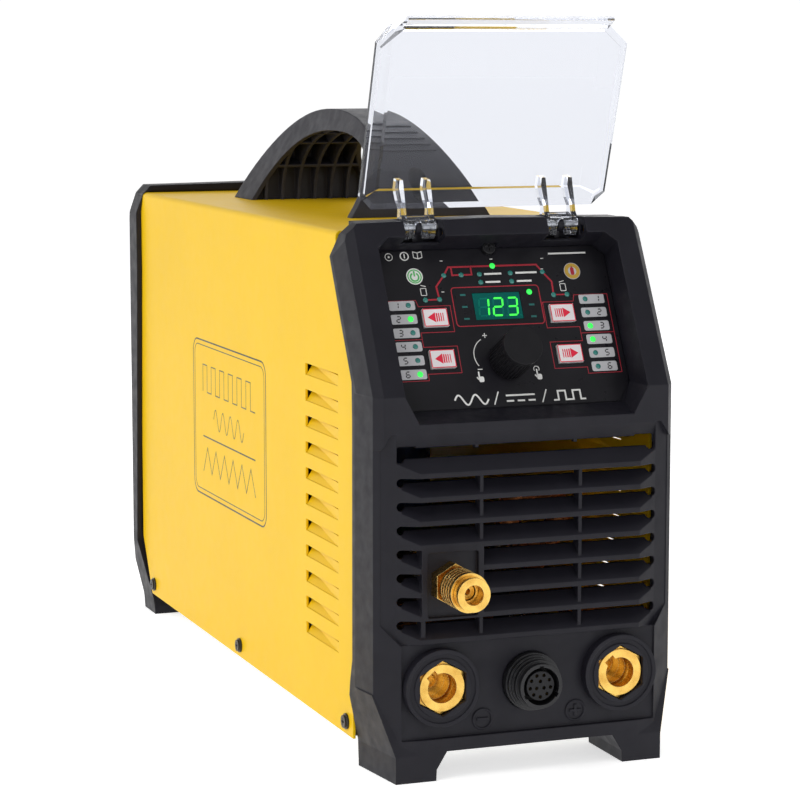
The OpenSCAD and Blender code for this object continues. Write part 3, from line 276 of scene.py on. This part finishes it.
def line(points, width, closed=False):
    """A line of the given width through the points, as four-cornered pieces."""
    count = len(points)
    sides = []
    for i, (x, z) in enumerate(points):
        before = points[i - 1] if closed or i > 0 else points[i]
        after = points[(i + 1) % count] if closed or i < count - 1 else points[i]
        a = Vector((x - before[0], z - before[1]))
        b = Vector((after[0] - x, after[1] - z))
        a = a.normalized() if a.length > 1e-9 else b.normalized()
        b = b.normalized() if b.length > 1e-9 else a
        mitre = Vector((-(a.y + b.y), a.x + b.x))
        mitre = mitre.normalized() if mitre.length > 1e-6 else Vector((-a.y, a.x))
        reach = width / 2 / max(0.35, mitre.dot(Vector((-a.y, a.x))))
        sides.append(((x + mitre.x * reach, z + mitre.y * reach),
                      (x - mitre.x * reach, z - mitre.y * reach)))
    last = count if closed else count - 1
    return [[sides[i][0], sides[(i + 1) % count][0], sides[(i + 1) % count][1], sides[i][1]]
            for i in range(last)]


def dashes(points, width):
    """Separate straight strokes, two points each."""
    return [quad for pair in points for quad in line(pair, width)]


def piece_of(name, shape, look, body, smooth=False):
    """Turns a bmesh into a finished piece that rides on a body."""
    bmesh.ops.recalc_face_normals(shape, faces=shape.faces)
    for face in shape.faces:
        face.smooth = smooth
    mesh = bpy.data.meshes.new(name)
    shape.to_mesh(mesh)
    shape.free()
    mesh.materials.append(look)
    piece = bpy.data.objects.new(name, mesh)
    bpy.context.scene.collection.objects.link(piece)
    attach(piece, body)


def printed(name, shapes, place, depth, look, body="machine"):
    """Thin raised plates: each outline, in mm, is put through place(u, v, depth)."""
    shape = bmesh.new()
    for outline in shapes:
        area = sum(a[0] * b[1] - b[0] * a[1]
                   for a, b in zip(outline, outline[1:] + outline[:1]))
        corners = outline if area > 0 else outline[::-1]
        front = [shape.verts.new(place(u, v, depth)) for u, v in corners]
        back = [shape.verts.new(place(u, v, 0.0)) for u, v in corners]
        shape.faces.new(front)
        shape.faces.new(back[::-1])
        for i in range(len(front)):
            j = (i + 1) % len(front)
            shape.faces.new((front[i], back[i], back[j], front[j]))
    piece_of(name, shape, look, body)


def domes(name, places, radius, height, place, look):
    """Small round lamp lenses on a printed face."""
    shape = bmesh.new()
    sides, rings = 20, 5
    for u, v in places:
        loops = []
        for r in range(rings):
            angle = math.radians(90 * r / rings)
            loops.append([shape.verts.new(place(
                u + radius * math.cos(angle) * math.cos(math.tau * i / sides),
                v + radius * math.cos(angle) * math.sin(math.tau * i / sides),
                height * math.sin(angle))) for i in range(sides)])
        top = shape.verts.new(place(u, v, height))
        shape.faces.new(loops[0][::-1])
        for low, high in zip(loops, loops[1:]):
            for i in range(sides):
                j = (i + 1) % sides
                shape.faces.new((low[i], low[j], high[j], high[i]))
        for i in range(sides):
            shape.faces.new((loops[-1][i], loops[-1][(i + 1) % sides], top))
    piece_of(name, shape, look, "machine", smooth=True)


# ------------------------------------------------------------------ control panel

PANEL_LEAN = math.radians(27.1)
OVERLAY_T = 0.6 * MM       # the film's thickness
OVERLAY_FOOT = 0.4 * MM    # from the artwork's zero line up to the film's lower edge
PRINT_T = 0.06             # mm: ink on the film
TOP_PRINT_T = 0.03         # mm: ink on ink, and on the keys
WINDOW_SINK_MM = 0.2       # how far the display window's face lies below the film's
KEY_FACE_MM = 1.4          # how far a key's face stands above the film's
overlay_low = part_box("panel_overlay")[0]
panel_y = overlay_low.y - OVERLAY_FOOT * math.sin(PANEL_LEAN)
panel_z = (overlay_low.z + OVERLAY_T * math.sin(PANEL_LEAN)
           - OVERLAY_FOOT * math.cos(PANEL_LEAN))


def on_panel(lift_mm=0.0):
    """A placing function for the panel: across, up and out, in mm."""
    def place(x, s, out):
        d = -(lift_mm + out)
        return Vector((x * MM,
                       panel_y + (s * math.sin(PANEL_LEAN) + d * math.cos(PANEL_LEAN)) * MM,
                       panel_z + (s * math.cos(PANEL_LEAN) - d * math.sin(PANEL_LEAN)) * MM))
    return place


def both(shapes):
    """The shapes and their mirror images."""
    return shapes + [[(-x, s) for x, s in outline] for outline in shapes]


def arc(x, s, radius, start, end, steps=14):
    return [(x + radius * math.cos(math.radians(start + (end - start) * i / steps)),
             s + radius * math.sin(math.radians(start + (end - start) * i / steps)))
            for i in range(steps + 1)]


SEGMENTS = {"1": "bc", "2": "abged", "3": "abgcd", "4": "fgbc", "5": "afgcd", "6": "afgedc"}


def digit(char, x, s, wide, tall, bar):
    """Strokes of a seven-bar digit around its middle, and the bars that it leaves out."""
    w, h, gap = wide / 2, tall / 2, bar * 0.28
    slant = 0.10
    ends = {
        "a": ((-w, h), (w, h)), "b": ((w, h), (w, 0)), "c": ((w, 0), (w, -h)),
        "d": ((-w, -h), (w, -h)), "e": ((-w, 0), (-w, -h)), "f": ((-w, h), (-w, 0)),
        "g": ((-w, 0), (w, 0)),
    }
    lit, dark = [], []
    for key, (p, q) in ends.items():
        p, q = Vector(p), Vector(q)
        way = (q - p).normalized()
        p, q = p + way * (gap + bar * 0.4), q - way * (gap + bar * 0.4)
        out = Vector((-way.y, way.x)) * bar / 2
        tip = way * bar * 0.45
        corners = [p - tip, p + out, q + out, q + tip, q - out, p - out]
        outline = [(x + c.x + slant * c.y, s + c.y) for c in corners]
        (lit if key in SEGMENTS[char] else dark).append(outline)
    return lit, dark


def control_panel():
    film = on_panel()
    # Red outlines: key boxes, the welding cycle and the display frame
    upper_box = [(54.6, 51.8), (38.2, 51.8), (37.4, 48.8), (22.3, 48.8), (22.3, 36.4),
                 (38.2, 36.4), (38.2, 33.3), (54.6, 33.3)]
    lower_box = [(38.2, 33.3), (38.2, 29.6), (22.3, 29.6), (22.3, 17.0), (38.2, 17.0),
                 (38.2, 14.0), (54.6, 14.0), (54.6, 33.3)]
    red = both(line(upper_box, 0.3, True) + line(lower_box, 0.3))
    red += line([(-33.5, 51.8), (-26.8, 51.9)], 0.75)
    red += line([(-26.8, 51.9), (-27.3, 58.0), (-22.8, 63.2), (-20.1, 67.1), (22.6, 67.1),
                 (25.0, 63.5), (28.7, 58.6), (28.4, 52.2)], 0.8)
    red += line([(28.4, 52.2), (35.0, 52.2)], 0.6)
    red += line([(-18.8, 67.1), (-18.8, 63.2), (-9.4, 63.2), (-9.4, 67.1)], 0.75)
    red += line(rounded(-20.6, 21.6, 38.7, 57.2, 1.6), 0.45, True)
    printed("panel_red_lines", red, film, PRINT_T, print_red)
    # White marks: plain symbols only
    white = both(line(rounded(32.4, 35.0, 54.0, 57.4, 0.3), 0.3, True)
                 + line([(32.2, 58.2), (34.6, 58.9)], 0.3))
    white += line(arc(-6.6, 24.6, 8.6, 118, 214), 0.38)
    white += dashes([[(-14.6, 18.2), (-12.4, 18.2)], [(-9.6, 34.0), (-7.4, 34.0)],
                     [(-8.5, 32.9), (-8.5, 35.1)]], 0.4)
    for side in (-1, 1):
        # A pointing hand: finger and fist
        hand = 13.9 * side
        white.append(rounded(hand - 0.95, hand - 0.25, 14.0, 17.2, 0.3))
        white.append(rounded(hand - 0.9, hand + 1.5, 12.2, 14.8, 0.7))
        white += line([(hand - 0.9, 13.4), (hand - 1.8, 14.6)], 0.6)
    white += line(arc(13.3, 17.2, 1.3, -40, 220), 0.35)
    # Alternating and direct current symbols in place of a name
    wave = [(-28 + 0.5 * i, 4.2 + 2.3 * math.sin(math.tau * i / 16)) for i in range(33)]
    white += line(wave, 0.8)
    white += line([(-9.6, 1.4), (-6.9, 7.4)], 0.55)
    white += dashes([[(-3.6, 5.4), (10.2, 5.4)], [(-3.6, 2.8), (-0.1, 2.8)],
                     [(1.6, 2.8), (5.1, 2.8)], [(6.8, 2.8), (10.2, 2.8)]], 0.8)
    white += line([(13.4, 1.4), (16.1, 7.4)], 0.55)
    white += line([(19.0, 2.2), (21.4, 2.2), (21.4, 6.4), (25.0, 6.4), (25.0, 2.2), (28.6, 2.2),
                   (28.6, 6.4), (32.2, 6.4), (32.2, 2.2), (34.6, 2.2)], 0.8)
    # Marks at the top corners and beside the cycle's lamps
    white += line(circle(-47.3, 72.8, 1.7), 0.3, True) + [circle(-47.3, 72.8, 0.5, 12)]
    white += line(circle(-39.9, 73.0, 1.9), 0.5, True)
    white += line([(-39.9, 72.0), (-39.9, 74.2)], 0.5)
    white += line([(-33.6, 71.6), (-35.6, 72.2), (-35.6, 75.0), (-33.6, 74.4), (-31.6, 75.0),
                   (-31.6, 72.2)], 0.36, True) + line([(-33.6, 71.6), (-33.6, 74.4)], 0.36)
    white += dashes([[(29.5, 72.2), (48.0, 72.2)]], 0.8)
    for x, s in ((-24.6, 55.4), (24.9, 64.9), (-22.8, 70.2), (1.2, 70.4), (26.0, 70.0)):
        white += dashes([[(x - 0.7, s), (x + 0.7, s)]], 0.34)
    for x, s, length in ((-3.4, 63.3, 8.4), (11.8, 63.4, 10.4), (-3.4, 59.4, 7.2),
                         (11.8, 59.4, 7.2)):
        white += dashes([[(x, s), (x + length, s)]], 0.9)
    printed("panel_white_marks", white, film, PRINT_T, print_white)
    # Mode labels with their numbers, on both sides
    label_s = (49.6, 43.1, 36.6, 30.1, 23.6, 17.1)
    labels, numbers = [], []
    for i, s in enumerate(label_s):
        for x0, x1, number_x in ((-51.2, -38.9, -47.6), (40.4, 52.8, 49.2)):
            labels.append(rounded(x0, x1, s - 2.3, s + 2.3, 0.9))
            numbers += digit(str(i + 1), number_x, s, 1.7, 2.7, 0.5)[0]
    printed("panel_labels", labels, film, PRINT_T, print_grey)
    printed("panel_label_numbers", numbers, on_panel(PRINT_T), TOP_PRINT_T, print_black)
    # Power sign and gas sign
    printed("power_sign_disc", [circle(-36.7, 63.2, 3.9)], film, PRINT_T, print_white)
    printed("power_sign", line(arc(-36.7, 62.9, 1.9, 118, 422, 24), 0.75)
            + line([(-36.7, 63.2), (-36.7, 65.8)], 0.75)
            + line(circle(-36.7, 63.2, 3.1, 32), 0.55, True), on_panel(PRINT_T), TOP_PRINT_T,
            print_green)
    printed("gas_sign_disc", [circle(39.7, 63.4, 4.0)], film, PRINT_T, print_grey)
    printed("gas_sign", line(circle(39.7, 63.4, 2.9, 32), 1.7, True), on_panel(PRINT_T),
            TOP_PRINT_T, print_yellow)
    printed("gas_sign_bottle", [rounded(38.8, 40.6, 61.4, 65.2, 0.8)]
            + line([(39.7, 65.0), (39.7, 66.0)], 0.5), on_panel(PRINT_T), TOP_PRINT_T,
            print_red)
    # Lamps
    left_x, right_x = -42.0, 43.4
    left_lit, right_lit = (1, 5), (2, 3)
    lit = [(1.2, 67.1), (16.8, 54.0)]
    lit += [(left_x, label_s[i]) for i in left_lit]
    lit += [(right_x, label_s[i]) for i in right_lit]
    dark = [(-33.5, 51.8), (-26.8, 51.9), (-22.8, 63.2), (-14.5, 63.2), (-5.7, 63.3),
            (9.3, 63.4), (-5.7, 59.4), (9.3, 59.4), (25.0, 63.5), (28.4, 52.2), (35.0, 52.2)]
    dark += [(left_x, s) for i, s in enumerate(label_s) if i not in left_lit]
    dark += [(right_x, s) for i, s in enumerate(label_s) if i not in right_lit]
    domes("panel_lamps_lit", lit, 1.35, 0.55, on_panel(PRINT_T), led_lit)
    domes("panel_lamps_unlit", dark, 1.25, 0.5, on_panel(PRINT_T), led_dark)
    # Unit marks beside the display
    units = [outline for x in (-15.4, 16.9) for s in (47.9, 42.2)
             for outline in dashes([[(x - 1.3, s), (x + 1.3, s)]], 0.9)]
    units += dashes([[(-16.7, 53.6), (-14.1, 53.6)]], 0.9)
    printed("display_unit_marks", units, film, PRINT_T, print_teal)


def display():
    window = on_panel(-WINDOW_SINK_MM)
    lit, dark = [], []
    for char, x in (("1", -6.2), ("2", 0.6), ("3", 7.6)):
        on, off = digit(char, x, 47.5, 4.5, 8.2, 0.85)
        lit += on
        dark += off
    dark += [circle(x, 43.2, 0.5, 14) for x in (-2.6, 4.2, 11.0)]
    printed("display_digits_lit", lit, window, 0.08, digit_lit)
    printed("display_digits_unlit", dark, window, 0.05, digit_dark)


def keys():
    """The red border and arrow printed on each key, which ride on the key."""
    for side_name, side in (("left", -1), ("right", 1)):
        for level, s in (("upper", 43.0), ("lower", 23.5)):
            x = 30.6 * side
            face = on_panel(KEY_FACE_MM)
            marks = line(rounded(x - 5.6, x + 5.6, s - 4.0, s + 4.0, 0.5), 0.4, True)
            marks.append([(x + side * 3.8, s), (x + side * 0.1, s + 2.4),
                          (x + side * 0.1, s - 2.4)])
            for i in range(4):
                bar = x - side * (0.55 + 1.0 * i)
                marks += line([(bar, s - 2.0), (bar, s + 2.0)], 0.68 - 0.09 * i)
            printed(f"key_{level}_{side_name}_print", marks, face, TOP_PRINT_T, print_key_red,
                    body=f"key_{level}_{side_name}")


# ------------------------------------------------------------------ side decal

DECAL_Y = 0.0222         # the middle of the decal
DECAL_Z = 0.1258
DECAL_T = 0.05           # mm


def side_decal():
    """Two thin rounded frames with wave signs, printed on the cover's left side."""
    side_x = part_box("cover")[0].x

    def place(along, up, out):
        return Vector((side_x - out * MM, DECAL_Y - along * MM, DECAL_Z + up * MM))

    marks = []
    for half_w, half_h, radius, width in ((62.2, 40.5, 7, 0.75), (59.6, 37.9, 5.4, 0.45)):
        marks += line(rounded(-half_w, half_w, -half_h, half_h, radius, 8), width, True)
    # A pulse train, a sine wave, a rule and a triangle wave
    pulses = []
    for i in range(6):
        x = -45 + 15 * i
        pulses += [(x, 14), (x, 28), (x + 7.5, 28), (x + 7.5, 14)]
    marks += line(pulses + [(45, 14)], 0.55)
    wave = [(-26 + i, 1.5 + 5.2 * math.sin(math.tau * i / 13)) for i in range(53)]
    marks += line(wave, 0.5)
    marks += line([(-45, -9.5), (45, -9.5)], 0.7)
    teeth = [(-45 + 7.5 * i, -28 + 13 * (i % 2)) for i in range(13)]
    marks += line(teeth, 0.55)
    printed("side_decal", marks, place, DECAL_T, print_black)


# ------------------------------------------------------------------ handle

HANDLE_POWER = 2.1       # of the superellipse that the handle's outer arch follows
HANDLE_TOP_HALF = 11.7   # mm: half the handle's width at its top
HANDLE_FLARE = 23.7      # mm: how much wider each half is at the foot
FLARE_POWER = 1.3
RIB_COUNT = 5
RIB_FIRST = 0.63         # the lowest rib's height as a share of the handle's
RIB_STEP = 0.055
RIB_MARGIN = 3.2         # mm: from a rib's end to the handle's side
# A rib's section in mm, lift off the slope and place along it: sunk foot, then face
RIB_SECTION = ((-0.2, -0.8), (0.5, -0.45), (0.5, 0.45), (-0.2, 0.8))
RIB_INSET = 0.6          # mm: how much shorter the face is than the foot at each end


def handle_grip_lines():
    """Moulded ribs across the front slope of the handle."""
    low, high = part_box("handle")
    half_len = (high.y - low.y) / 2
    middle_y = (high.y + low.y) / 2
    tall = high.z - low.z

    def front(share):
        """A point on the front slope."""
        y = middle_y - half_len * (1 - share ** HANDLE_POWER) ** (1 / HANDLE_POWER)
        return Vector((0, y, low.z + tall * share))

    def half_width(share):
        return (HANDLE_TOP_HALF + HANDLE_FLARE * (1 - share) ** FLARE_POWER) * MM

    shape = bmesh.new()
    for i in range(RIB_COUNT):
        share = RIB_FIRST + RIB_STEP * i
        middle, above = front(share), front(share + 0.004)
        up = (above - middle).normalized()
        out = Vector((0, -up.z, up.y))
        reach = half_width(share) - RIB_MARGIN * MM
        corners = []
        for side in (-1, 1):
            for lift, rise in RIB_SECTION:
                inset = RIB_INSET * MM if lift > 0 else 0
                corners.append(shape.verts.new(middle + out * lift * MM + up * rise * MM
                                               + Vector((side * (reach - inset), 0, 0))))
        a, b = corners[:4], corners[4:]
        shape.faces.new(a)
        shape.faces.new(b[::-1])
        for j in range(4):
            k = (j + 1) % 4
            shape.faces.new((a[j], b[j], b[k], a[k]))
    piece_of("handle_grip_ribs", shape, slot_looks["grey_plastic"], "machine")


control_panel()
display()
keys()
side_decal()
handle_grip_lines()


# ------------------------------------------------------------------ stage

FLOOR_R = 4.5
WALL_R = 25.0
WALL_TOP = 9.0
FLOOR_GLOW = 0.62
WALL_GLOW = 0.99
SKY_LOW = (0.45, 0.45, 0.47, 1)
SKY_HIGH = (1.0, 1.0, 1.0, 1)
SKY_HIGH_FROM = 0.75       # the sine of the height from which the sky is all SKY_HIGH
SKY_STRENGTH = 0.42

# name, place, aim, size and watts
LIGHTS = (
    ("key", (-1.25, -0.7, 1.7), (0, 0, 0.12), (0.9, 0.9), 11),
    ("front_fill", (0.5, -1.6, 0.7), (0, -0.1, 0.12), (0.9, 0.9), 1.5),
    ("back_rim", (0.9, 1.2, 1.2), (0, 0, 0.15), (0.8, 0.8), 7),
)

# The photo's camera, fitted to the cabinet's edges
EYE = (-0.4540, -1.2495, 0.3186)
EYE_DOWN = 7.648           # degrees below level
EYE_TURN = 20.538          # degrees from +Y towards +X
LENS_MM = 119.406
SENSOR_MM = 36.0


def lathe(name, profile, look):
    """A stage surface: a profile of radius and height, turned about the Z axis."""
    sides = 96
    points = [(r * math.cos(math.tau * i / sides), r * math.sin(math.tau * i / sides), z)
              for r, z in profile for i in range(sides)]
    faces = [(k * sides + i, k * sides + (i + 1) % sides, (k + 1) * sides + (i + 1) % sides,
              (k + 1) * sides + i) for k in range(len(profile) - 1) for i in range(sides)]
    mesh = bpy.data.meshes.new(name)
    mesh.from_pydata(points, [], faces)
    mesh.materials.append(look)
    piece = bpy.data.objects.new(name, mesh)
    bpy.context.scene.collection.objects.link(piece)


def floor():
    look = Look("pale floor")
    shade = look.mix(look.noise(900, 2), (0.90, 0.90, 0.90, 1), (0.93, 0.93, 0.93, 1))
    look.set(Base_Color=shade, Emission_Color=(1, 1, 1, 1))
    look.set(Roughness=0.9, Specular_IOR_Level=0.1, Emission_Strength=FLOOR_GLOW)
    lathe("floor", [(0.001, 0.0), (FLOOR_R, 0.0)], look.material)


def backdrop():
    """A bright far floor and a ring-shaped wall, so that every view ends in white."""
    look = Look("white wall")
    look.set(Base_Color=look.mix(look.noise(900, 2), (0.04, 0.04, 0.04, 1),
                                 (0.06, 0.06, 0.06, 1)), Emission_Color=(1, 1, 1, 1))
    look.set(Roughness=0.9, Specular_IOR_Level=0.0, Emission_Strength=WALL_GLOW)
    lathe("backdrop", [(FLOOR_R - 0.05, -0.002), (WALL_R, -0.002), (WALL_R, WALL_TOP)],
          look.material)


def area_light(name, place, aim, size, power):
    data = bpy.data.lights.new(name, "AREA")
    data.shape = "RECTANGLE"
    data.size, data.size_y = size
    data.energy = power
    lamp = bpy.data.objects.new(name, data)
    lamp.location = place
    lamp.rotation_euler = (Vector(aim) - Vector(place)).to_track_quat("-Z", "Y").to_euler()
    bpy.context.scene.collection.objects.link(lamp)


def studio():
    world = bpy.data.worlds.new("studio")
    bpy.context.scene.world = world
    world.use_nodes = True
    tree = world.node_tree
    background = tree.nodes["Background"]
    where = tree.nodes.new("ShaderNodeTexCoord")
    split = tree.nodes.new("ShaderNodeSeparateXYZ")
    ramp = tree.nodes.new("ShaderNodeValToRGB")
    low, high = ramp.color_ramp.elements
    low.position, low.color = 0.0, SKY_LOW
    high.position, high.color = SKY_HIGH_FROM, SKY_HIGH
    tree.links.new(where.outputs["Generated"], split.inputs[0])
    tree.links.new(split.outputs["Z"], ramp.inputs[0])
    tree.links.new(ramp.outputs[0], background.inputs["Color"])
    background.inputs["Strength"].default_value = SKY_STRENGTH
    for light in LIGHTS:
        area_light(*light)
    bpy.context.scene.view_settings.view_transform = "Standard"


def camera():
    data = bpy.data.cameras.new("camera")
    data.lens = LENS_MM
    data.sensor_width = SENSOR_MM
    data.clip_start, data.clip_end = 0.05, 100
    eye = bpy.data.objects.new("camera", data)
    eye.location = EYE
    eye.rotation_euler = Euler((math.radians(90 - EYE_DOWN), 0, math.radians(-EYE_TURN)))
    bpy.context.scene.collection.objects.link(eye)
    bpy.context.scene.camera = eye


floor()
backdrop()
studio()
camera()
